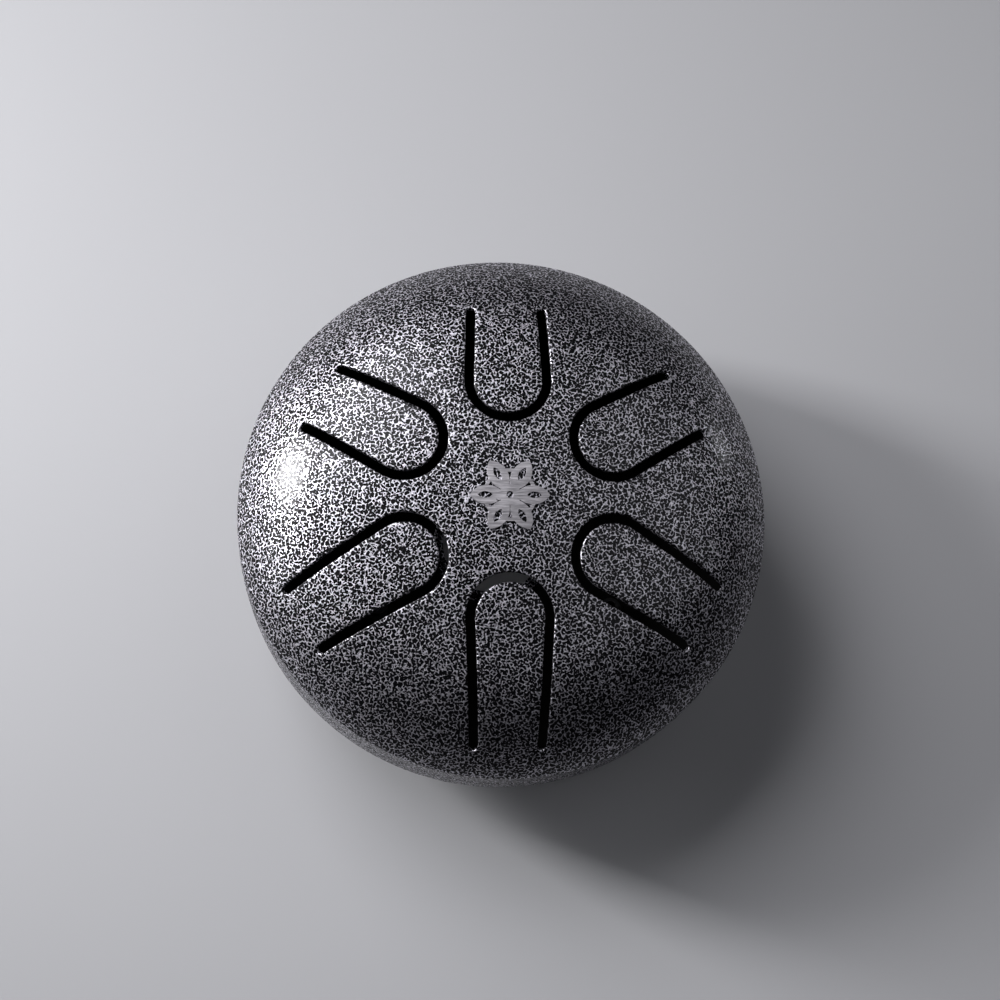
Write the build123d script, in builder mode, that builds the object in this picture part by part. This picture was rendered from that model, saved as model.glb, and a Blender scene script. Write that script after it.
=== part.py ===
from build123d import *
import math
import os

# A small steel tongue drum with six notes, standing on three rubber feet. Millimetres.
# +Z runs up the drum's axis; the origin is on that axis, in the plane that the feet stand on.
# Each note is a tongue that a U-shaped slot leaves free in the domed top. Tongues are placed by
# their direction in plan, in degrees from +X, and +Y is the direction of the highest note.

# ---- Driving dimensions ----------------------------------------------------------------------

drum_radius = 70.0
sheet = 1.0  # thickness of both pressed steel shells

# Domed top: three tangent arcs, then a straight wall down to the weld.
crown_radius = 3.0 * drum_radius
crown_reach = 0.62 * drum_radius  # where the crown arc meets the shoulder arc
shoulder_radius = 0.6 * drum_radius
corner_radius = 0.03 * drum_radius
top_wall = 10.1  # height of the straight wall above the weld

# Bottom shell: a flatter bowl of about the same depth, with an inward lip round its sound hole.
base_crown_radius = 5.0 * drum_radius
base_crown_reach = 0.65 * drum_radius
base_shoulder_radius = 0.46 * drum_radius
base_corner_radius = 0.1 * drum_radius
base_wall = 9.0
sound_hole_radius = 14.0
lip_radius = 2.8  # outer radius of the rolled edge
lip_collar = 1.2  # straight end of the rolled edge, inside the drum

weld_gap = 0.8  # between the edges of the two shells
weld_width = 3.2
weld_crown = 0.25  # how far the bead stands proud of the wall

# Notes: a major pentatonic scale and its octave, as pitch ratios, with each tongue's direction.
notes = {
    "c_low": (1, 270),
    "d": (9 / 8, 210),
    "e": (5 / 4, 330),
    "g": (3 / 2, 150),
    "a": (5 / 3, 30),
    "c_high": (2, 90),
}
# A tongue's pitch falls with the square of its length, so its length is a fixed part at the tip
# and root, plus a part that goes with one over the square root of the pitch.
tongue_fixed_length = 0.04 * drum_radius
tongue_tuned_length = 0.55 * drum_radius  # of the lowest note
slot_width = 0.035 * drum_radius
tip_reach = 0.3 * drum_radius  # drum axis to the middle of the slot at the tip
tip_radius = 0.145 * drum_radius  # of the middle of the slot round the tip
leg_taper = 2.45  # degrees that each leg of a slot closes in on its way to the root
root_gap = 0.04  # clearance of the hinge that stands in for the bending root

# Emblem on the crown: a six-petalled rosette of thin metal on an adhesive film.
petal_count = 6
emblem_radius = 10.3
petal_half_width = 2.5
petal_start = 1.4
leaf_hole = (4.4, 8.2)  # from and to, along the petal
leaf_hole_half_width = 0.85
emblem_ring = (6.0, 6.9)  # inner and outer radius
emblem_hub = (0.9, 2.8)
emblem_thickness = 0.4
adhesive_thickness = 0.1
adhesive_inset = 0.15  # how far the film stays inside the emblem's outline
emblem_cut = 3.0  # height of the vertical cut that shapes both layers

# Feet, each square to the shell, on a screw in a rivet nut.
foot_count = 3
foot_pitch_radius = 38.0
foot_angle = 90.0  # direction of the first foot
foot_stand = 7.2  # along the foot's axis, from the shell's face to the ground
foot_top_radius = 7.0
foot_bottom_radius = 5.9
foot_edge_radius = 0.6
foot_recess_radius = 4.0
foot_web = 3.0  # rubber clamped between the washer and the rivet nut
rivet_flange_radius = 3.5
rivet_flange = 0.7
rivet_body_radius = 2.4
rivet_crush_radius = 3.2
rivet_crush = 2.4
rivet_length = 7.5
screw_radius = 1.45
screw_reach = 5.5  # how far the screw goes into the drum
screw_head_radius = 2.8
screw_head = 1.9
screw_head_edge = 0.9  # height of the head's straight side
screw_head_shoulder = (2.0, 1.4)  # radius and height of the middle of the head's domed part
screw_socket_radius = 1.15
screw_socket_depth = 1.2
washer_radius = 3.6
washer_thickness = 0.5
clearance = 0.05

# ---- Worked out from them --------------------------------------------------------------------


def sine(degrees):
    return math.sin(math.radians(degrees))


def cosine(degrees):
    return math.cos(math.radians(degrees))


def slope_at(reach, radius):
    """Slope in degrees, at that distance from the axis, of an arc centred on the axis."""
    return math.degrees(math.asin(reach / radius))


def bowl_turns(crown, reach, shoulder, corner, start=0.0):
    """Arcs of a bowl's outer face, as (radius, degrees), from a slope of `start` to a vertical wall."""
    crown_end = slope_at(reach, crown)
    shoulder_sine = (drum_radius - corner - reach + shoulder * sine(crown_end)) / (shoulder - corner)
    shoulder_end = math.degrees(math.asin(shoulder_sine))
    return [
        (crown, crown_end - start),
        (shoulder, shoulder_end - crown_end),
        (corner, 90 - shoulder_end),
    ]


def bowl_drop(turns):
    """Height from a bowl's centre to the start of its straight wall."""
    slope, drop = 0.0, 0.0
    for radius, degrees in turns:
        drop += radius * (cosine(slope) - cosine(slope + degrees))
        slope += degrees
    return drop


top_form = (crown_radius, crown_reach, shoulder_radius, corner_radius)
base_form = (base_crown_radius, base_crown_reach, base_shoulder_radius, base_corner_radius)
top_height = bowl_drop(bowl_turns(*top_form)) + top_wall
base_depth = bowl_drop(bowl_turns(*base_form)) + base_wall

foot_slope = slope_at(foot_pitch_radius, base_crown_radius)
foot_seat_rise = base_crown_radius * (1 - cosine(foot_slope))
base_bottom_z = foot_stand * cosine(foot_slope) - foot_seat_rise
base_edge_z = base_bottom_z + base_depth
weld_z = base_edge_z + weld_gap / 2
top_edge_z = base_edge_z + weld_gap
apex_z = top_edge_z + top_height

top_section = Plane((0, 0, top_edge_z), x_dir=(1, 0, 0), z_dir=(0, -1, 0))
weld_section = Plane((0, 0, weld_z), x_dir=(1, 0, 0), z_dir=(0, -1, 0))
base_section = Plane((0, 0, base_edge_z), x_dir=(1, 0, 0), z_dir=(0, 1, 0))  # its y points down


def foot_seat(index):
    """Where a foot meets the shell: the origin on the shell's face, +Z square out of the drum."""
    spoke = Plane.XY.rotated((0, 0, foot_angle + index * 360 / foot_count))
    outward = spoke.x_dir * sine(foot_slope) - spoke.z_dir * cosine(foot_slope)
    origin = spoke.x_dir * foot_pitch_radius + spoke.z_dir * (base_bottom_z + foot_seat_rise)
    return Plane(origin, x_dir=spoke.y_dir, z_dir=outward)


def section_of(seat):
    """The plane through a foot's axis: local x is the radius, local y runs out of the drum."""
    return Plane(seat.origin, x_dir=seat.x_dir, z_dir=seat.x_dir.cross(seat.z_dir))


seats = [foot_seat(index) for index in range(foot_count)]

# ---- Outlines shared by several parts --------------------------------------------------------


def bowl_face(start, heading, turns, inset):
    """One face of a pressed sheet: arcs that all turn the same way, then the wall down to y = 0."""
    point, tangent = Vector(start), Vector(heading)
    for radius, degrees in turns:
        arc = JernArc(point, tangent, radius - inset, -degrees)
        point, tangent = arc @ 1, arc % 1
    Line(point, (point.X, 0))


def dome_profile():
    """Section of the pressed top before its slots are cut."""
    turns = bowl_turns(*top_form)
    with BuildSketch(top_section) as section:
        with BuildLine():
            bowl_face((0, top_height), (1, 0), turns, 0)
            bowl_face((0, top_height - sheet), (1, 0), turns, sheet)
            Line((0, top_height), (0, top_height - sheet))
            Line((drum_radius, 0), (drum_radius - sheet, 0))
        make_face()
    return section.sketch


def root_reach(ratio):
    """Drum axis to the root of the tongue of that pitch ratio."""
    return tip_reach + tongue_fixed_length + tongue_tuned_length / math.sqrt(ratio)


def tongue_plan(angle):
    """Plane above the drum, with local x along the tongue from the drum's axis to its root."""
    return Plane.XY.rotated((0, 0, angle)).offset(apex_z)


def tip_and_legs(root, spread):
    """A U round the tongue, `spread` from the centre of its tip. Returns the end of one leg."""
    tip_centre = tip_reach + tip_radius
    touch = Vector(tip_centre + spread * sine(leg_taper), spread * cosine(leg_taper))
    end = Vector(root, (spread - (root - tip_centre) * sine(leg_taper)) / cosine(leg_taper))
    Line(end, touch)
    ThreePointArc(touch, (tip_centre - spread, 0), (touch.X, -touch.Y))
    Line((touch.X, -touch.Y), (end.X, -end.Y))
    return end


def leaf(start, end, half_width):
    """A pointed leaf along +X."""
    with BuildSketch() as outline:
        with BuildLine():
            ThreePointArc((start, 0), ((start + end) / 2, half_width), (end, 0))
            ThreePointArc((end, 0), ((start + end) / 2, -half_width), (start, 0))
        make_face()
    return outline.sketch


def rosette(inset):
    """The emblem's outline drawn in by `inset`: pierced petals on a hub, tied by a ring."""
    petal = leaf(petal_start + inset, emblem_radius - 2 * inset, petal_half_width - inset)
    hole = leaf(leaf_hole[0] - inset, leaf_hole[1] + inset, leaf_hole_half_width + inset)
    with BuildSketch() as outline:
        Circle(emblem_ring[1] - inset)
        Circle(emblem_ring[0] + inset, mode=Mode.SUBTRACT)
        Circle(emblem_hub[1] - inset)
        with PolarLocations(0, petal_count):
            add(petal)
        with PolarLocations(0, petal_count):
            add(hole, mode=Mode.SUBTRACT)
        Circle(emblem_hub[0] + inset, mode=Mode.SUBTRACT)
    return outline.sketch


def crown_layer(low, high):
    """Section of a layer that follows the crown, between two heights above the shell's face."""
    span = slope_at(1.1 * emblem_radius, crown_radius)
    with BuildSketch(Plane.XZ) as section:
        with BuildLine():
            under = JernArc((0, apex_z + low), (1, 0), crown_radius + low, -span)
            over = JernArc((0, apex_z + high), (1, 0), crown_radius + high, -span)
            Line(under @ 0, over @ 0)
            Line(under @ 1, over @ 1)
        make_face()
    return section.sketch


def ring_section(inner, outer, low, high, mode=Mode.ADD):
    """A rectangle of a foot's section, between two radii and two heights."""
    with Locations(((inner + outer) / 2, (low + high) / 2)):
        Rectangle(outer - inner, high - low, mode=mode)


# ---- Top shell and tongues -------------------------------------------------------------------

dome_section = dome_profile()

with BuildPart() as top_shell:
    revolve(dome_section, axis=Axis.Z)
    for ratio, angle in notes.values():
        with BuildSketch(tongue_plan(angle)):
            with BuildLine():
                tip_and_legs(root_reach(ratio), tip_radius)
                offset(amount=slot_width / 2, side=Side.BOTH)
            make_face()
            with BuildLine():
                leg_end = tip_and_legs(root_reach(ratio), tip_radius)
                Line(leg_end, (leg_end.X, -leg_end.Y))
            make_face()
        extrude(amount=-top_height, mode=Mode.SUBTRACT)
top_shell.part.label = "top_shell"

tongues = []
for note, (ratio, angle) in notes.items():
    with BuildPart() as tongue:
        revolve(dome_section, axis=Axis.Z)
        with BuildSketch(tongue_plan(angle)):
            with BuildLine():
                leg_end = tip_and_legs(root_reach(ratio) - root_gap, tip_radius - slot_width / 2)
                Line(leg_end, (leg_end.X, -leg_end.Y))
            make_face()
        extrude(amount=-top_height, mode=Mode.INTERSECT)
    tongue.part.label = "tongue_" + note
    tongues.append(tongue.part)

# ---- Bottom shell and the weld that closes the drum ------------------------------------------

lip_slope = slope_at(sound_hole_radius + lip_radius, base_crown_radius - lip_radius)
lip_y = base_depth - base_crown_radius + (base_crown_radius - lip_radius) * cosine(lip_slope)
base_turns = [(lip_radius, 90 + lip_slope)] + bowl_turns(*base_form, start=lip_slope)

with BuildPart() as bottom_shell:
    with BuildSketch(base_section):
        with BuildLine():
            for inset in (0, sheet):
                Line((sound_hole_radius + inset, lip_y - lip_collar), (sound_hole_radius + inset, lip_y))
                bowl_face((sound_hole_radius + inset, lip_y), (0, 1), base_turns, inset)
            Line((sound_hole_radius, lip_y - lip_collar), (sound_hole_radius + sheet, lip_y - lip_collar))
            Line((drum_radius, 0), (drum_radius - sheet, 0))
        make_face()
    revolve(axis=Axis.Z)
    for seat in seats:
        with BuildSketch(seat.offset(-2 * sheet)):
            Circle(rivet_body_radius + clearance)
        extrude(amount=4 * sheet, mode=Mode.SUBTRACT)
bottom_shell.part.label = "bottom_shell"

with BuildPart() as rim_weld:
    with BuildSketch(weld_section):
        with BuildLine():
            ThreePointArc(
                (drum_radius, -weld_width / 2), (drum_radius + weld_crown, 0), (drum_radius, weld_width / 2)
            )
            Line((drum_radius, weld_width / 2), (drum_radius, -weld_width / 2))
        make_face()
        ring_section(drum_radius - sheet, drum_radius, -weld_gap / 2, weld_gap / 2)
    revolve(axis=Axis.Z)
rim_weld.part.label = "rim_weld"

# ---- Emblem ----------------------------------------------------------------------------------

emblem_plan = Plane.XY.offset(apex_z + emblem_cut / 2)

film_outline = rosette(adhesive_inset)
film_section = crown_layer(0, adhesive_thickness)
with BuildPart() as emblem_adhesive:
    revolve(film_section, axis=Axis.Z)
    with BuildSketch(emblem_plan):
        add(film_outline)
    extrude(amount=-emblem_cut, mode=Mode.INTERSECT)
emblem_adhesive.part.label = "emblem_adhesive"

emblem_outline = rosette(0)
emblem_section = crown_layer(adhesive_thickness, adhesive_thickness + emblem_thickness)
with BuildPart() as centre_emblem:
    revolve(emblem_section, axis=Axis.Z)
    with BuildSketch(emblem_plan):
        add(emblem_outline)
    extrude(amount=-emblem_cut, mode=Mode.INTERSECT)
centre_emblem.part.label = "centre_emblem"

# ---- Feet and their fasteners ----------------------------------------------------------------

web_end = rivet_flange + foot_web
head_start = web_end + washer_thickness
foot_blank = foot_stand + 2 * foot_top_radius * sine(foot_slope)  # long enough to reach the ground

feet = []
for index, seat in enumerate(seats):
    with BuildPart() as foot:
        with BuildSketch(section_of(seat)):
            with BuildLine():
                flank = [(foot_top_radius, 0), (foot_bottom_radius, foot_blank)]
                Polyline((0, 0), *flank, (0, foot_blank), close=True)
            make_face()
            ring_section(0, rivet_flange_radius + clearance, 0, rivet_flange, mode=Mode.SUBTRACT)
            ring_section(0, screw_radius + clearance, 0, foot_blank, mode=Mode.SUBTRACT)
            ring_section(0, foot_recess_radius, web_end, foot_blank, mode=Mode.SUBTRACT)
        revolve(axis=Axis(seat.origin, seat.z_dir))
        split(bisect_by=Plane.XY, keep=Keep.TOP)
        sole_rim = foot.edges().group_by(Axis.Z)[0].sort_by(SortBy.LENGTH)[-1]
        fillet(sole_rim, radius=foot_edge_radius)
    foot.part.label = f"foot_{index + 1}"
    feet.append(foot.part)

with BuildPart() as foot_rivet_nuts:
    for seat in seats:
        with BuildSketch(section_of(seat)):
            bore = screw_radius + clearance
            ring_section(bore, rivet_flange_radius, 0, rivet_flange)
            ring_section(bore, rivet_body_radius, -rivet_length, rivet_flange)
            crush_top = -sheet - clearance
            ring_section(bore, rivet_crush_radius, crush_top - rivet_crush, crush_top)
        revolve(axis=Axis(seat.origin, seat.z_dir))
foot_rivet_nuts.part.label = "foot_rivet_nuts"

with BuildPart() as foot_washers:
    for seat in seats:
        with BuildSketch(section_of(seat)):
            ring_section(screw_radius + clearance, washer_radius, web_end, head_start)
        revolve(axis=Axis(seat.origin, seat.z_dir))
foot_washers.part.label = "foot_washers"

with BuildPart() as foot_screws:
    for seat in seats:
        with BuildSketch(section_of(seat)):
            with BuildLine():
                shank = [(0, -screw_reach), (screw_radius, -screw_reach), (screw_radius, head_start)]
                head_edge = (screw_head_radius, head_start + screw_head_edge)
                shoulder = (screw_head_shoulder[0], head_start + screw_head_shoulder[1])
                Polyline(*shank, (screw_head_radius, head_start), head_edge)
                ThreePointArc(head_edge, shoulder, (0, head_start + screw_head))
                Line((0, head_start + screw_head), (0, -screw_reach))
            make_face()
        revolve(axis=Axis(seat.origin, seat.z_dir))
        with BuildSketch(seat.offset(head_start + screw_head)):
            RegularPolygon(screw_socket_radius, 6, major_radius=False)
        extrude(amount=-screw_socket_depth, mode=Mode.SUBTRACT)
foot_screws.part.label = "foot_screws"

# ---- Write the parts -------------------------------------------------------------------------

pieces = [
    top_shell.part,
    *tongues,
    bottom_shell.part,
    rim_weld.part,
    emblem_adhesive.part,
    centre_emblem.part,
    *feet,
    foot_rivet_nuts.part,
    foot_washers.part,
    foot_screws.part,
]
os.makedirs("parts", exist_ok=True)
for piece in pieces:
    export_step(piece, f"parts/{piece.label}.step")
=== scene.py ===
import math

import bmesh
import bpy
import numpy as np
from mathutils import Matrix, Vector
from mathutils.geometry import delaunay_2d_cdt


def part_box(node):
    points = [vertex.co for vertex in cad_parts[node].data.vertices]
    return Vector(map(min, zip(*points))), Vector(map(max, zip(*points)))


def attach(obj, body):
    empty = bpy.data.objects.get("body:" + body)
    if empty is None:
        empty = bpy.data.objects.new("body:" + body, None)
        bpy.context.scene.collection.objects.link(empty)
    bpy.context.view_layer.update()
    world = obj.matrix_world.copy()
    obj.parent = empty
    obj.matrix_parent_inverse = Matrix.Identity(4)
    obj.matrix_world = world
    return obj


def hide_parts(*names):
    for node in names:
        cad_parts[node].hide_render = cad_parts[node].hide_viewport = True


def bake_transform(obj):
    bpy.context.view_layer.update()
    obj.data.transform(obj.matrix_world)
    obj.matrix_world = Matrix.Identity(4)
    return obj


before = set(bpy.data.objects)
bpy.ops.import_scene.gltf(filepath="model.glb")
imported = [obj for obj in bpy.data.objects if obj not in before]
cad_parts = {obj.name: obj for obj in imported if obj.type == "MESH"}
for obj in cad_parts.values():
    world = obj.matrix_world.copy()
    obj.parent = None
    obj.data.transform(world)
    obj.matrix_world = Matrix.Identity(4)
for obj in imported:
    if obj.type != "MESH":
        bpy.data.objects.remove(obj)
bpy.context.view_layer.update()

# The looks of a small steel tongue drum. Metres, in the CAD's frame: +Z runs up the drum's axis.
# Both shells and the six tongues are remade as painted sheets whose slots have the soft edges that
# thick hammertone paint leaves. The weld and the emblem are remade too. The feet, their fasteners and
# the adhesive film get materials.

top_low, top_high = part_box("top_shell")
base_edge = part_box("bottom_shell")[1].z  # the height at which the bottom shell ends
weld_low, weld_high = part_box("rim_weld")

MM = 0.001
RADIUS = (top_high.x - top_low.x) / 2
CROWN = Vector((0, 0, top_high.z))

SHEET = 1.0 * MM  # thickness of the steel
TOP_WALL = 10.1 * MM  # height of each shell's straight wall
BASE_WALL = 9.0 * MM
BASE_CROWN = 5.0 * RADIUS  # radius of the bottom shell's middle arc

# A tongue's length is a fixed part and a part that goes with one over the root of the pitch.
# For each note: its pitch over the lowest one's, and the tongue's direction in degrees from +X.
NOTES = {
    "c_low": (1, 270),
    "d": (9 / 8, 210),
    "e": (5 / 4, 330),
    "g": (3 / 2, 150),
    "a": (5 / 3, 30),
    "c_high": (2, 90),
}
TIP_REACH = 0.3 * RADIUS  # drum axis to the middle line of a slot's tip
TIP_RADIUS = 0.145 * RADIUS
FIXED_LENGTH = 0.04 * RADIUS
TUNED_LENGTH = 0.55 * RADIUS
SLOT_WIDTH = 0.035 * RADIUS
LEG_TAPER = math.radians(2.45)

PAINT_EDGE = 0.38 * MM  # radius of the paint's rounding over the edge of a slot
EDGE_STEPS = 5  # rows over that rounding
CAP_POINTS = 10  # round the end of a slot's leg
SPOT_GAP = 1.5 * MM  # between the points that a sheet is meshed on
LOOP_GAP = 0.75 * MM  # between points along a slot
CLEARANCE = 0.45 * MM  # from a loop to the nearest of the spots
SHEET_CREASE = math.radians(40)  # the least turn between faces that is shaded as an edge
RUN_SAMPLES = 4000  # of a shell's face, from pole to wall

TOP_BORDER = 3.5 * MM  # width of the ring next to each wall that is meshed in rows
BASE_BORDER = 7.0 * MM
RIM_POINTS = 288  # round a shell's rim
BORDER_ROWS = 4
CORNER_ROWS = 9
WALL_ROWS = 4

HOLE_RADIUS = 14.0 * MM  # sound hole
HOLE_POINTS = 96
LIP_RADIUS = 2.8 * MM
LIP_COLLAR = 1.2 * MM  # height of the short tube that the lip ends in
LIP_STEPS = 12
FEET = ("foot_1", "foot_2", "foot_3")
FOOT_PITCH = 38.0 * MM  # drum axis to a foot's hole
NUT_HOLE = 2.45 * MM  # radius of the hole for a foot's rivet nut
NUT_HOLE_POINTS = 24

WELD_GAP = 0.8 * MM  # between the edges of the two shells
BEAD_SUNK = 0.02 * MM  # how far the bead's two edges lie under the walls' face
BEAD_POINTS = 11  # across the bead
BEAD_STEPS = 1440  # round the drum
RIPPLES = 180
RIPPLE_DEPTH = 0.08 * MM
RIPPLE_LAG = 2.2  # how far a ripple's ends trail its middle, in radians of its wave

EMBLEM_EASE = 0.18 * MM  # width of its eased edges
EASED_EDGE = math.radians(50)  # the least turn between faces that gets one
EMBLEM_CREASE = math.radians(30)
SAME_PLANE = math.radians(1.0)  # the CAD's faces that turn less are joined
SAME_POINT = 0.002 * MM

FLOOR_SIZE = 4.0
LIGHT_SPREAD = math.radians(90)

# The camera's turns about X, Y and Z, from a view straight down.
CAMERA_TIP = math.radians(-12.79)
CAMERA_SWING = math.radians(4.28)
CAMERA_ROLL = math.radians(0.48)
CAMERA_ASIDE = RADIUS * Vector((-0.03626, -0.01849, 0))  # of the line through the crown
CAMERA_RADII = 1 / 0.12  # its distance from the crown, in drum radii
RADIUS_SHARE = 0.27460  # of the picture's width, at the crown
SENSOR = 36.0


# ---- Shapes of the two shells ----------------------------------------------------------------


class Bowl:
    """A pressed shell's outer face: three tangent arcs from its pole, then a straight wall.

    The arcs' radii are `crown`, `shoulder` and `corner`, and the crown arc goes out to `reach`.
    `pole` is the height of the face on the axis. `side` is 1 for the shell that opens downwards
    and -1 for the one that opens upwards.
    """

    def __init__(self, crown, reach, shoulder, corner, pole, side):
        crown_end = math.asin(reach / crown)
        sine = (RADIUS - corner - reach + shoulder * reach / crown) / (shoulder - corner)
        shoulder_end = math.asin(sine)
        self.arcs = [
            (crown, crown_end),
            (shoulder, shoulder_end - crown_end),
            (corner, math.pi / 2 - shoulder_end),
        ]
        self.pole, self.side = pole, side
        self.wall_start = sum(radius * turn for radius, turn in self.arcs)
        self.runs = np.linspace(0, self.wall_start, RUN_SAMPLES)
        self.reaches = self.face(self.runs)[0]

    def face(self, run):
        """Distance from the axis, height and slope at a run along the face from the pole."""
        left = np.array(run, float)
        reach, fall, slope = np.zeros_like(left), np.zeros_like(left), np.zeros_like(left)
        for radius, turn in self.arcs:
            step = np.clip(left / radius, 0, turn)
            reach += radius * (np.sin(slope + step) - np.sin(slope))
            fall += radius * (np.cos(slope) - np.cos(slope + step))
            slope += step
            left -= radius * step
        return reach, self.pole - self.side * (fall + left), slope

    def flat(self, plan):
        """Plan points moved out to their run along the face, where the sheet is meshed flat."""
        reach = np.hypot(plan[:, 0], plan[:, 1])
        return plan * (np.interp(reach, self.reaches, self.runs) / reach)[:, None]

    def lift(self, flat, depth=0.0):
        """Points in space of flat points, `depth` into the sheet, square to its outer face."""
        run = np.hypot(flat[:, 0], flat[:, 1])
        ray = flat / np.maximum(run, 1e-9)[:, None]
        reach, height, slope = self.face(run)
        out = (reach - depth * np.sin(slope))[:, None] * ray
        return np.column_stack([out, height - self.side * depth * np.cos(slope)])


TOP = Bowl(
    crown=3.0 * RADIUS,
    reach=0.62 * RADIUS,
    shoulder=0.6 * RADIUS,
    corner=0.03 * RADIUS,
    pole=CROWN.z,
    side=1,
)
BASE = Bowl(
    crown=BASE_CROWN,
    reach=0.65 * RADIUS,
    shoulder=0.46 * RADIUS,
    corner=0.1 * RADIUS,
    pole=0.0,
    side=-1,
)
BASE.pole = base_edge - BASE_WALL - BASE.face([BASE.wall_start])[1][0]  # puts its edge in place


def arc(centre, radius, start, end, count):
    angles = np.linspace(start, end, count)
    return np.array(centre) + radius * np.column_stack([np.cos(angles), np.sin(angles)])


def steps(start, end, gap):
    """Points from start to end, no further apart than gap, without the last one."""
    start, end = np.array(start, float), np.array(end, float)
    count = max(1, math.ceil(np.linalg.norm(end - start) / gap))
    return start + (end - start) * (np.arange(count) / count)[:, None]


def mirrored(half):
    """A path that starts off the tongue's axis and ends on it, followed by its mirror image."""
    return np.vstack([half, half[-2::-1] * [1, -1]])


def root_reach(ratio):
    """How far from the axis a tongue's root is."""
    return TIP_REACH + FIXED_LENGTH + TUNED_LENGTH / math.sqrt(ratio)


def slot_sides(root, out):
    """The slot's outline `out` from its middle line, x along the tongue: (dome side, tongue side).

    Both run from the root on the left of the tongue to the root on its right.
    """
    tip = np.array([TIP_REACH + TIP_RADIUS, 0])
    square = np.array([math.sin(LEG_TAPER), math.cos(LEG_TAPER)])
    end = np.array([root, (TIP_RADIUS - (root - tip[0]) * square[0]) / square[1]])
    turn = math.pi / 2 - LEG_TAPER
    quarter = math.ceil((TIP_RADIUS * (math.pi - turn)) / LOOP_GAP)
    cap = arc(end, out, -math.pi / 2, turn, CAP_POINTS)[:-1]
    leg = steps(end + out * square, tip + (TIP_RADIUS + out) * square, LOOP_GAP)
    dome_side = np.vstack([cap, leg, arc(tip, TIP_RADIUS + out, turn, math.pi, quarter)])
    inner_leg = steps(end - (0, out), tip + (TIP_RADIUS - out) * square, LOOP_GAP)
    tongue_side = np.vstack([inner_leg, arc(tip, TIP_RADIUS - out, turn, math.pi, quarter)])
    return mirrored(dome_side), mirrored(tongue_side)


def turned(points, degrees):
    """Flat points turned about the axis."""
    c, s = math.cos(math.radians(degrees)), math.sin(math.radians(degrees))
    return points @ np.array([[c, s], [-s, c]])


def slot_borders(ratio, angle):
    """The edges of one slot as (flat loop, rows in space), for the dome and for the tongue.

    A row is a closed loop: the slot's side, then back along the tongue's root. Its level is how
    far it lies from the slot's middle line and how deep in the sheet.
    """
    root = root_reach(ratio)
    wide = SLOT_WIDTH / 2 + PAINT_EDGE
    levels = [
        (wide - PAINT_EDGE * math.sin(t), PAINT_EDGE * (1 - math.cos(t)))
        for t in np.linspace(0, math.pi / 2, EDGE_STEPS)
    ]
    levels += [(SLOT_WIDTH / 2, SHEET), (wide, SHEET)]
    borders = []
    for side in (0, 1):
        lines = [slot_sides(root, out)[side] for out, depth in levels]
        root_line = steps(lines[0][-1], lines[0][0], LOOP_GAP)[1:]
        loops = [TOP.flat(turned(np.vstack([line, root_line]), angle)) for line in lines]
        rows = [TOP.lift(loop, depth) for loop, (out, depth) in zip(loops, levels)]
        borders.append((loops[0], rows))
    return borders


def circle(radius, count, centre=(0, 0)):
    return arc(centre, radius, 0, 2 * math.pi, count + 1)[:-1]


def wall_border(bowl, width, wall_height):
    """A shell's border: a ring `width` wide, the corner and the wall outside, then back inside."""
    start = bowl.wall_start - width
    corner_radius, corner_turn = bowl.arcs[-1]
    corner_start = bowl.wall_start - corner_radius * corner_turn
    shoulder = np.linspace(start, corner_start, BORDER_ROWS + 1)[:-1]
    corner = np.linspace(corner_start, bowl.wall_start, CORNER_ROWS)
    wall = np.linspace(bowl.wall_start, bowl.wall_start + wall_height, WALL_ROWS + 1)[1:]
    runs = np.concatenate([shoulder, corner, wall])
    flat = circle(start, RIM_POINTS)
    outer_rows = [bowl.lift(flat * (run / start)) for run in runs]
    inner_rows = [bowl.lift(flat * (run / start), SHEET) for run in runs[::-1]]
    return flat, outer_rows + inner_rows


# ---- Mesh work -------------------------------------------------------------------------------


def inside(points, loop):
    """Which flat points lie inside a closed loop: those whose ray crosses it an odd number of times."""
    a, b = loop, np.roll(loop, -1, axis=0)
    found = np.zeros(len(points), bool)
    for (ax, ay), (bx, by) in zip(a, b):
        if ay != by:
            crosses = (ay > points[:, 1]) != (by > points[:, 1])
            at = ax + (points[:, 1] - ay) * (bx - ax) / (by - ay)
            found ^= crosses & (points[:, 0] < at)
    return found


def spread_spots(reach, loops):
    """Points in rings round the axis, out to `reach`, clear of every loop."""
    rings = [circle(SPOT_GAP * i, 6 * i) for i in range(1, int(reach / SPOT_GAP))]
    middle = (1e-6, 0)  # not quite on the axis, so that it has a direction
    spots = np.vstack([[middle], *rings])
    edge = np.vstack(loops)
    gaps = [np.linalg.norm(edge - spot, axis=1).min() for spot in spots]
    return spots[np.array(gaps) > CLEARANCE]


def fill(outline, holes, spots):
    """Flat points, and triangles over what lies inside the outline and outside the holes.

    The loops' own points come first, in their order.
    """
    loops = [outline, *holes]
    keep = inside(spots, outline)
    for hole in holes:
        keep &= ~inside(spots, hole)
    points = np.vstack([*loops, spots[keep]])
    edges, start = [], 0
    for loop in loops:
        edges += [(start + i, start + (i + 1) % len(loop)) for i in range(len(loop))]
        start += len(loop)
    hull, same_point = 0, 1e-8
    made = delaunay_2d_cdt([Vector(p) for p in points], edges, [], hull, same_point)
    faces, sources = made[2], made[3]
    triangles = np.array([[sources[i][0] for i in face] for face in faces])
    middles = points[triangles].mean(axis=1)
    keep = inside(middles, outline)
    for hole in holes:
        keep &= ~inside(middles, hole)
    return points, triangles[keep]


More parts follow.
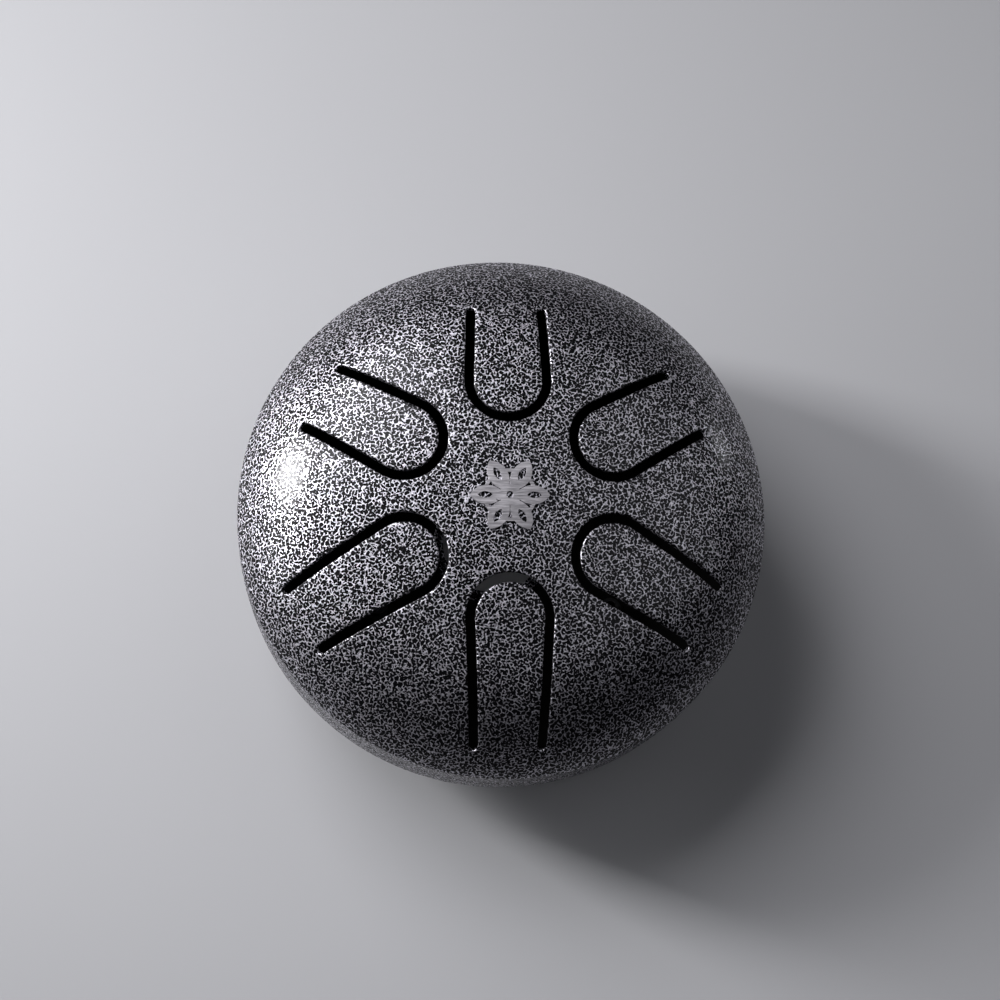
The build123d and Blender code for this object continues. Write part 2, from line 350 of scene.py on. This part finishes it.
def sheet(name, bowl, outline, holes, spots):
    """A closed sheet of metal. The outline and holes are borders: (flat loop, rows in space)."""
    flat, triangles = fill(outline[0], [hole[0] for hole in holes], spots)
    count = len(flat)
    points = [bowl.lift(flat), bowl.lift(flat, SHEET)]
    faces = [tuple(t) for t in triangles] + [tuple(t[::-1] + count) for t in triangles]
    inner_faces = range(len(triangles), 2 * len(triangles))
    first, total = 0, 2 * count
    for loop, rows in [outline, *holes]:
        size = len(loop)
        ids = [np.arange(size) + first]
        for row in rows[1:-1]:
            ids.append(np.arange(size) + total)
            points.append(row)
            total += size
        ids.append(np.arange(size) + first + count)
        for near, far in zip(ids, ids[1:]):
            faces += [
                (near[i], near[(i + 1) % size], far[(i + 1) % size], far[i]) for i in range(size)
            ]
        first += size
    mesh = bpy.data.meshes.new(name)
    mesh.from_pydata(np.vstack(points).tolist(), [], [[int(i) for i in face] for face in faces])
    unseen = mesh.attributes.new("inner_face", "BOOLEAN", "FACE")
    unseen.data.foreach_set("value", [i in inner_faces for i in range(len(faces))])
    return finished(name, mesh)


def finished(name, mesh):
    """An object of that mesh, with its normals outward and smooth except at creases."""
    bm = bmesh.new()
    bm.from_mesh(mesh)
    bmesh.ops.recalc_face_normals(bm, faces=bm.faces)
    bm.to_mesh(mesh)
    bm.free()
    mesh.shade_smooth()
    mesh.set_sharp_from_angle(angle=SHEET_CREASE)
    piece = bpy.data.objects.new(name, mesh)
    bpy.context.scene.collection.objects.link(piece)
    return piece


def lathe(name, section, count, ripple):
    """A ring: a closed section of (reach, height) points turned about the axis in `count` steps.

    `ripple` gives how far each of the section's points moves out at an angle.
    """
    section = np.array(section)
    rows = []
    for angle in np.linspace(0, 2 * math.pi, count + 1)[:-1]:
        reach, height = section[:, 0] + ripple(angle, section), section[:, 1]
        rows.append(np.column_stack([reach * math.cos(angle), reach * math.sin(angle), height]))
    size = len(section)
    faces = [
        (
            a * size + i,
            a * size + (i + 1) % size,
            (a + 1) % count * size + (i + 1) % size,
            (a + 1) % count * size + i,
        )
        for a in range(count)
        for i in range(size)
    ]
    mesh = bpy.data.meshes.new(name)
    mesh.from_pydata(np.vstack(rows).tolist(), [], faces)
    return finished(name, mesh)


# ---- Materials -------------------------------------------------------------------------------


class Nodes:
    """Short ways to add and join shader nodes in one material."""

    def __init__(self, name):
        self.material = bpy.data.materials.new(name)
        self.material.use_nodes = True
        self.tree = self.material.node_tree
        self.tree.nodes.clear()
        self.shader = self.tree.nodes.new("ShaderNodeBsdfPrincipled")
        output = self.tree.nodes.new("ShaderNodeOutputMaterial")
        self.join(self.shader.outputs[0], output.inputs[0])
        self.place = self.tree.nodes.new("ShaderNodeTexCoord").outputs["Object"]

    def join(self, source, socket):
        if isinstance(source, bpy.types.NodeSocket):
            self.tree.links.new(source, socket)
        else:
            socket.default_value = source

    def noise(self, scale, detail=2.0, roughness=0.5, place=None, output="Fac"):
        node = self.tree.nodes.new("ShaderNodeTexNoise")
        node.inputs["Scale"].default_value = scale
        node.inputs["Detail"].default_value = detail
        node.inputs["Roughness"].default_value = roughness
        self.join(place or self.place, node.inputs["Vector"])
        return node.outputs[output]

    def cells(self, size, place, feature="F1"):
        """Distance to the nearest cell's middle (F1) or edge, in cell sizes."""
        node = self.tree.nodes.new("ShaderNodeTexVoronoi")
        node.feature = feature
        node.inputs["Scale"].default_value = 1 / size
        self.join(place, node.inputs["Vector"])
        return node.outputs["Distance"]

    def math(self, operation, a, b=0.0, c=0.0):
        node = self.tree.nodes.new("ShaderNodeMath")
        node.operation = operation
        for value, socket in zip((a, b, c), node.inputs):
            self.join(value, socket)
        return node.outputs[0]

    def ramp(self, value, low, high, start=0.0, end=1.0):
        """`value` from low to high, mapped smoothly to start to end."""
        node = self.tree.nodes.new("ShaderNodeMapRange")
        node.interpolation_type = "SMOOTHSTEP"
        for source, name in (
            (value, "Value"),
            (low, "From Min"),
            (high, "From Max"),
            (start, "To Min"),
            (end, "To Max"),
        ):
            self.join(source, node.inputs[name])
        return node.outputs["Result"]

    def mix(self, share, a, b):
        """Colour a where share is 0, b where it is 1."""
        node = self.tree.nodes.new("ShaderNodeMix")
        node.data_type = "RGBA"
        for source, socket in ((share, node.inputs[0]), (a, node.inputs[6]), (b, node.inputs[7])):
            if isinstance(source, tuple):
                source = (*source, 1.0)
            self.join(source, socket)
        return node.outputs[2]

    def shifted(self, amount, scale):
        """The place on the object, pushed about by noise."""
        centre = self.tree.nodes.new("ShaderNodeVectorMath")
        centre.operation = "SUBTRACT"
        self.join(self.noise(scale, output="Color"), centre.inputs[0])
        centre.inputs[1].default_value = (0.5, 0.5, 0.5)
        push = self.tree.nodes.new("ShaderNodeVectorMath")
        push.operation = "MULTIPLY_ADD"
        self.join(centre.outputs[0], push.inputs[0])
        push.inputs[1].default_value = (amount, amount, amount)
        self.join(self.place, push.inputs[2])
        return push.outputs[0]

    def stretched(self, scale):
        """The place on the object, scaled by axis, for grain that runs one way."""
        node = self.tree.nodes.new("ShaderNodeMapping")
        node.inputs["Scale"].default_value = scale
        self.join(self.place, node.inputs["Vector"])
        return node.outputs[0]

    def bump(self, height, distance, strength):
        node = self.tree.nodes.new("ShaderNodeBump")
        node.inputs["Distance"].default_value = distance
        node.inputs["Strength"].default_value = strength
        self.join(height, node.inputs["Height"])
        return node.outputs[0]

    def surface(self, **values):
        """Sets sockets of the shader by name, with _ for a space."""
        for name, value in values.items():
            if isinstance(value, tuple) and len(value) == 3:
                value = (*value, 1.0)
            self.join(value, self.shader.inputs[name.replace("_", " ")])
        return self.material


def hammertone():
    """Silver-vein paint: a raised silver net round small black pits, under a thin gloss."""
    n = Nodes("hammertone_paint")
    vein_cell, pit_cell = 1.08 * MM, 0.67 * MM
    dull_silver, bright_silver = (0.25, 0.243, 0.268), (0.88, 0.855, 0.93)
    pit_black = (0.001, 0.001, 0.0015)
    place = n.shifted(0.2 * MM, 1500)
    to_vein = n.cells(vein_cell, place, "DISTANCE_TO_EDGE")
    to_pit = n.cells(pit_cell, place)
    narrowest, spread = 0.045, 0.08  # of a vein's half width, in vein cells
    vein_width = n.math("MULTIPLY_ADD", n.noise(600), spread, narrowest)
    vein_side = (n.math("SUBTRACT", vein_width, 0.02), n.math("ADD", vein_width, 0.04))
    on_vein = n.math("SUBTRACT", 1.0, n.ramp(to_vein, *vein_side))
    veins = n.math("MULTIPLY", on_vein, n.ramp(to_pit, 0.43, 0.51))
    tone = n.noise(1800, 3.0, 0.65)
    silver = n.mix(n.ramp(tone, 0.3, 0.7), dull_silver, bright_silver)
    colour = n.mix(veins, pit_black, silver)
    ridge = n.math("SUBTRACT", 1.0, n.ramp(to_vein, 0.0, 0.3))
    height = n.math("ADD", ridge, n.math("MULTIPLY", tone, 0.35))  # veins, and grain on them
    return n.surface(
        Base_Color=colour,
        Metallic=veins,
        Roughness=n.math("MULTIPLY_ADD", tone, 0.2, 0.34),
        Specular_IOR_Level=0.05,
        Normal=n.bump(height, 0.09 * MM, 0.9),
        Coat_Weight=0.35,
        Coat_Roughness=0.18,
        Coat_Normal=n.bump(ridge, 0.03 * MM, 0.6),
    )


def inner_coat_and_shade():
    """The thin matt black coat inside the shells, where the paint gun hardly reaches; its near-zero
    black is also painted shade inside the drum.
    """
    n = Nodes("inner_coat_and_shade")
    cloud = n.noise(60, 3.0)
    grain = n.noise(1500, 2.0)
    return n.surface(
        # Near-zero black: the coat's own colour, made darker still as painted shade inside the drum.
        Base_Color=n.mix(cloud, (0.002, 0.002, 0.002), (0.004, 0.004, 0.004)),
        Roughness=n.math("MULTIPLY_ADD", grain, 0.2, 0.75),
        Specular_IOR_Level=0.15,
        Normal=n.bump(grain, 0.02 * MM, 0.5),
    )


def brushed_metal():
    """The emblem's face, brushed along X."""
    n = Nodes("brushed_metal")
    strokes = n.noise(1.0, 3.0, 0.7, n.stretched((260, 5200, 5200)))
    long_strokes = n.noise(1.0, 2.0, 0.5, n.stretched((110, 2400, 2400)))
    cloud = n.noise(220, 2.0)
    tone = n.math("MULTIPLY_ADD", long_strokes, 0.4, n.math("MULTIPLY", strokes, 0.6))
    tone = n.ramp(tone, 0.36, 0.64)
    return n.surface(
        Base_Color=n.mix(tone, (0.31, 0.298, 0.315), (0.58, 0.56, 0.585)),
        Metallic=1.0,
        Roughness=n.math("MULTIPLY_ADD", cloud, 0.2, n.math("MULTIPLY_ADD", tone, 0.12, 0.28)),
        Normal=n.bump(strokes, 0.03 * MM, 0.8),
    )


def adhesive_film():
    """Black acrylic film; only its cut edge shows round the emblem, where its black is also a painted
    shadow of the raised emblem.
    """
    n = Nodes("adhesive_film")
    grain = n.noise(2500, 2.0)
    return n.surface(
        # Near-black: the film's own colour and a painted shadow along the emblem's edge.
        Base_Color=n.mix(grain, (0.006, 0.006, 0.006), (0.014, 0.014, 0.014)),
        Roughness=n.math("MULTIPLY_ADD", grain, 0.2, 0.5),
        Normal=n.bump(grain, 0.01 * MM, 0.5),
    )


def foot_rubber():
    """Moulded rubber with a little dust and a matt, finely textured face."""
    n = Nodes("foot_rubber")
    grain = n.noise(3000, 2.0)
    scuff = n.noise(260, 4.0, 0.65)
    dust = n.ramp(scuff, 0.5, 0.75, 0.0, 0.5)
    return n.surface(
        Base_Color=n.mix(dust, (0.012, 0.012, 0.012), (0.05, 0.048, 0.046)),
        Roughness=n.math("MULTIPLY_ADD", scuff, 0.25, 0.6),
        Normal=n.bump(grain, 0.02 * MM, 0.4),
    )


def zinc_plate():
    """Bright plating, a little clouded."""
    n = Nodes("zinc_plate")
    cloud = n.noise(700, 3.0, 0.6)
    grain = n.noise(4000, 2.0)
    return n.surface(
        Base_Color=n.mix(cloud, (0.42, 0.42, 0.43), (0.62, 0.62, 0.60)),
        Metallic=1.0,
        Roughness=n.math("MULTIPLY_ADD", cloud, 0.25, 0.25),
        Normal=n.bump(grain, 0.01 * MM, 0.4),
    )


def black_oxide():
    """Blackened steel."""
    n = Nodes("black_oxide")
    cloud = n.noise(900, 3.0, 0.6)
    return n.surface(
        Base_Color=n.mix(cloud, (0.018, 0.018, 0.02), (0.05, 0.05, 0.052)),
        Metallic=0.8,
        Roughness=n.math("MULTIPLY_ADD", cloud, 0.25, 0.3),
        Normal=n.bump(cloud, 0.01 * MM, 0.4),
    )


def pale_floor():
    """Matt pale grey, very slightly clouded."""
    n = Nodes("pale_floor")
    cloud = n.noise(3.0, 3.0)
    return n.surface(
        Base_Color=n.mix(cloud, (0.38, 0.38, 0.39), (0.42, 0.42, 0.43)),
        Roughness=0.7,
    )


def painted(piece, paint, inner):
    """Gives a sheet its paint outside and, inside, its black coat darkened as painted shade. The inner
    face was marked when the sheet was made.
    """
    mesh = piece.data
    mesh.materials.append(paint)
    mesh.materials.append(inner)
    marks = np.zeros(len(mesh.polygons), bool)
    mesh.attributes["inner_face"].data.foreach_get("value", marks)
    mesh.polygons.foreach_set("material_index", marks.astype(np.int32))


def recoat(node, material):
    """A carried-over CAD node's new material."""
    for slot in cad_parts[node].material_slots:
        slot.material = material


# ---- Pieces ----------------------------------------------------------------------------------


def top_and_tongues(paint, inner):
    """The dome, and in each of its slots the tongue."""
    rim = wall_border(TOP, TOP_BORDER, TOP_WALL)
    slots = {note: slot_borders(*value) for note, value in NOTES.items()}
    dome_sides = [borders[0] for borders in slots.values()]
    loops = [rim[0]] + [border[0] for borders in slots.values() for border in borders]
    spots = spread_spots(TOP.wall_start, loops)

    dome = sheet("top_shell_skin", TOP, rim, dome_sides, spots)
    painted(dome, paint, inner)
    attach(dome, "drum")
    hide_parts("top_shell")

    for note, borders in slots.items():
        node = "tongue_" + note
        tongue = sheet(node + "_skin", TOP, borders[1], [], spots)
        painted(tongue, paint, inner)
        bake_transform(tongue)
        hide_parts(node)


def sound_hole_lip():
    """The rolled lip's border: from the face round into the drum, then back down its inner side."""
    middle_reach = HOLE_RADIUS + LIP_RADIUS
    slope = math.asin(middle_reach / (BASE_CROWN - LIP_RADIUS))
    start = BASE.flat(np.array([[middle_reach - LIP_RADIUS * math.sin(slope), 0]]))[0, 0]
    loop = circle(start, HOLE_POINTS)
    ray = loop / start
    middle_z = BASE.lift(loop)[0, 2] + LIP_RADIUS * math.cos(slope)
    collar_z = middle_z + LIP_COLLAR

    def roll(radius, start_turn, end_turn):
        turns = np.linspace(start_turn, end_turn, LIP_STEPS)
        return [(middle_reach - radius * math.sin(t), middle_z - radius * math.cos(t)) for t in turns]

    outside = roll(LIP_RADIUS, slope, math.pi / 2)
    collar = [(HOLE_RADIUS, collar_z), (HOLE_RADIUS + SHEET, collar_z)]
    back = roll(LIP_RADIUS - SHEET, math.pi / 2, slope)
    section = outside + collar + back
    return loop, [np.column_stack([reach * ray, np.full(len(ray), z)]) for reach, z in section]


def nut_hole(foot):
    """The border of the hole that holds a foot's rivet nut."""
    low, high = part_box(foot)
    towards = Vector(((low.x + high.x) / 2, (low.y + high.y) / 2)).normalized()
    flat = BASE.flat(circle(NUT_HOLE, NUT_HOLE_POINTS, FOOT_PITCH * np.array(towards)))
    return flat, [BASE.lift(flat), BASE.lift(flat, SHEET)]


def base_shell(paint, inner):
    """The bottom shell with its sound hole and the feet's holes."""
    rim = wall_border(BASE, BASE_BORDER, BASE_WALL)
    holes = [sound_hole_lip(), *(nut_hole(foot) for foot in FEET)]
    loops = [rim[0]] + [hole[0] for hole in holes]
    shell = sheet("bottom_shell_skin", BASE, rim, holes, spread_spots(BASE.wall_start, loops))
    painted(shell, paint, inner)
    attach(shell, "drum")
    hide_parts("bottom_shell")


def weld_bead(paint):
    """The seam weld under its paint: a low bead with the faint ripple of a steady hand."""
    middle = (weld_low.z + weld_high.z) / 2
    half = (weld_high.z - weld_low.z) / 2
    proud = weld_high.x - RADIUS
    section = [
        (RADIUS + proud * math.cos(t * math.pi / 2) - BEAD_SUNK, middle + half * t)
        for t in np.linspace(-1, 1, BEAD_POINTS)
    ]
    inner_reach = RADIUS - SHEET
    section += [(inner_reach, middle + WELD_GAP / 2), (inner_reach, middle - WELD_GAP / 2)]

    def ripple(angle, points):
        across = np.clip((points[:, 1] - middle) / half, -1, 1)
        wave = np.sin(RIPPLES * angle - RIPPLE_LAG * across**2)
        depth = RIPPLE_DEPTH * (1 + wave) / 2 * (1 - across**2)
        return np.where(points[:, 0] > inner_reach, -depth, 0)

    bead = lathe("rim_weld_skin", section, BEAD_STEPS, ripple)
    bead.data.materials.append(paint)
    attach(bead, "drum")
    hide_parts("rim_weld")


def emblem(metal):
    """The rosette's CAD shape with its edges eased, so that they catch the light."""
    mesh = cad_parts["centre_emblem"].data.copy()
    bm = bmesh.new()
    bm.from_mesh(mesh)
    bmesh.ops.remove_doubles(bm, verts=bm.verts, dist=SAME_POINT)
    bmesh.ops.dissolve_limit(
        bm, angle_limit=SAME_PLANE, verts=bm.verts, edges=bm.edges, delimit={"NORMAL"}
    )
    bm.to_mesh(mesh)
    bm.free()
    mesh.materials.clear()
    mesh.materials.append(metal)
    piece = bpy.data.objects.new("centre_emblem_skin", mesh)
    bpy.context.scene.collection.objects.link(piece)
    ease = piece.modifiers.new("eased_edges", "BEVEL")
    ease.width = EMBLEM_EASE
    ease.segments = 3
    ease.limit_method = "ANGLE"
    ease.angle_limit = EASED_EDGE
    mesh.shade_smooth()
    mesh.set_sharp_from_angle(angle=EMBLEM_CREASE)
    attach(piece, "drum")
    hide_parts("centre_emblem")


# ---- Studio and camera -----------------------------------------------------------------------


def area_light(name, azimuth, elevation, distance, size, power, colour):
    """A soft box aimed at the crown: azimuth in degrees from +X, elevation in degrees from level."""
    turn, rise = math.radians(azimuth), math.radians(elevation)
    level = math.cos(rise)
    away = Vector((level * math.cos(turn), level * math.sin(turn), math.sin(rise)))
    light = bpy.data.lights.new(name, "AREA")
    light.shape = "RECTANGLE"
    light.size, light.size_y = size
    light.energy = power
    light.spread = LIGHT_SPREAD
    light.color = colour
    lamp = bpy.data.objects.new(name, light)
    lamp.location = CROWN + distance * away
    lamp.rotation_mode = "QUATERNION"
    lamp.rotation_quaternion = (-away).to_track_quat("-Z", "Y")
    bpy.context.scene.collection.objects.link(lamp)


def studio():
    """The floor, the faint light of the room and five soft boxes."""
    floor_mesh = bpy.data.meshes.new("floor")
    half = FLOOR_SIZE / 2
    corners = [(-half, -half, 0), (half, -half, 0), (half, half, 0), (-half, half, 0)]
    floor_mesh.from_pydata(corners, [], [(0, 1, 2, 3)])
    floor_mesh.materials.append(pale_floor())
    floor = bpy.data.objects.new("floor", floor_mesh)
    bpy.context.scene.collection.objects.link(floor)

    world = bpy.data.worlds.new("soft_room")
    world.use_nodes = True
    background = world.node_tree.nodes["Background"]
    background.inputs["Color"].default_value = (0.80, 0.84, 1.0, 1)
    background.inputs["Strength"].default_value = 0.015
    bpy.context.scene.world = world

    # Name, azimuth, elevation, distance, size, watts and colour.
    area_light("key_upper_left", 132, 43, 0.90, (0.55, 0.60), 1.90, (0.96, 0.96, 1.0))
    area_light("hot_left", 159, 22, 0.75, (0.13, 0.28), 1.90, (0.98, 0.98, 1.0))
    area_light("low_left", 175, 12, 0.75, (0.45, 0.25), 0.35, (0.96, 0.97, 1.0))
    area_light("soft_right", 20, 50, 0.90, (0.90, 0.90), 0.43, (0.94, 0.95, 1.0))
    area_light("rim_right", 26, 5, 0.75, (0.10, 0.10), 0.06, (0.94, 0.96, 1.0))


def picture_camera():
    """The photograph's view: nearly down the axis, tipped towards the viewer's side."""
    turns = ((CAMERA_TIP, "X"), (CAMERA_SWING, "Y"), (CAMERA_ROLL, "Z"))
    tip, swing, roll = (Matrix.Rotation(angle, 3, axis) for angle, axis in turns)
    back = (tip @ swing @ roll).transposed()
    camera = bpy.data.cameras.new("camera")
    camera.sensor_width = SENSOR
    camera.lens = SENSOR * RADIUS_SHARE * CAMERA_RADII
    camera.clip_start, camera.clip_end = 0.01, 20
    holder = bpy.data.objects.new("camera", camera)
    holder.location = CROWN + back @ (CAMERA_ASIDE + Vector((0, 0, CAMERA_RADII * RADIUS)))
    holder.rotation_mode = "QUATERNION"
    holder.rotation_quaternion = back.to_quaternion()
    bpy.context.scene.collection.objects.link(holder)
    bpy.context.scene.camera = holder


paint = hammertone()
inner = inner_coat_and_shade()
top_and_tongues(paint, inner)
base_shell(paint, inner)
weld_bead(paint)
emblem(brushed_metal())
recoat("emblem_adhesive", adhesive_film())
rubber = foot_rubber()
for foot in FEET:
    recoat(foot, rubber)
# The rivet nuts are blackened; where they show through the slots, that black also stands for painted
# shade inside the drum.
recoat("foot_rivet_nuts", black_oxide())
recoat("foot_washers", zinc_plate())
recoat("foot_screws", black_oxide())
studio()
picture_camera()
bpy.context.scene.view_settings.view_transform = "Standard"

bpy.context.view_layer.update()
